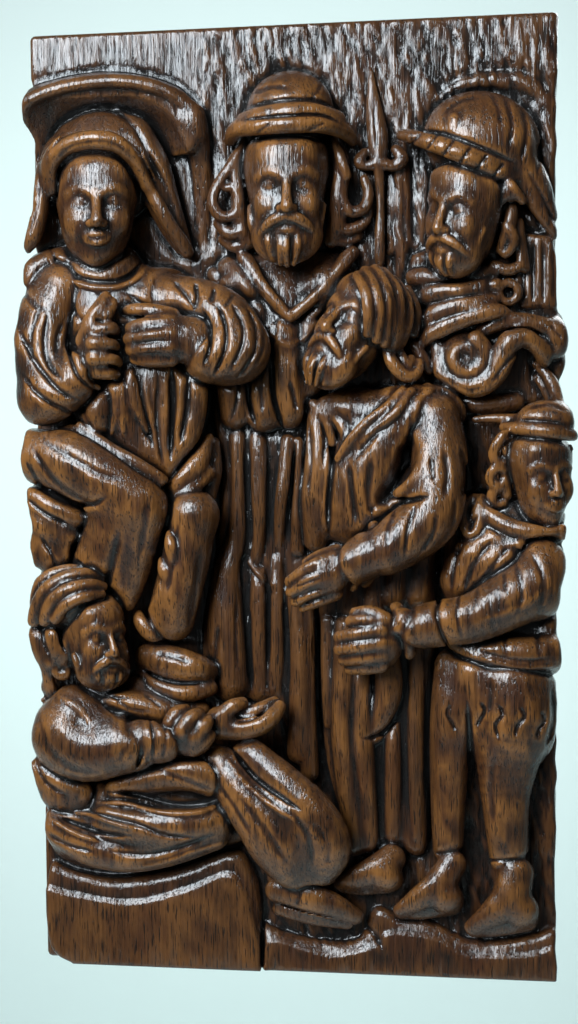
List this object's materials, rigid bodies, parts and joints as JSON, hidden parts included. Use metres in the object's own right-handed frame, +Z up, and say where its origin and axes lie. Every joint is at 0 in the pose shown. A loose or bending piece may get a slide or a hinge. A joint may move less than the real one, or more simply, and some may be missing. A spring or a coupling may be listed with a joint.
{
  "type": "carved wall panel",
  "caption": "Upright oak wall panel carved in high relief with a group of standing, seated and crouching figures in old dress.",
  "frame": {"origin": "centre of the flat back face, where the panel meets the wall", "axes": "+Z up along the panel's height, +Y into the wall out of the flat back, +X to the right as seen from the carved front"},
  "size_m": [0.2908, 0.0615, 0.4992],
  "materials": {
    "oak": "dark stained oak, waxed to a deep gloss, worn golden on the high spots"
  },
  "bodies": {
    "root": {"carved_panel": "oak"}
  },
  "joints": []
}
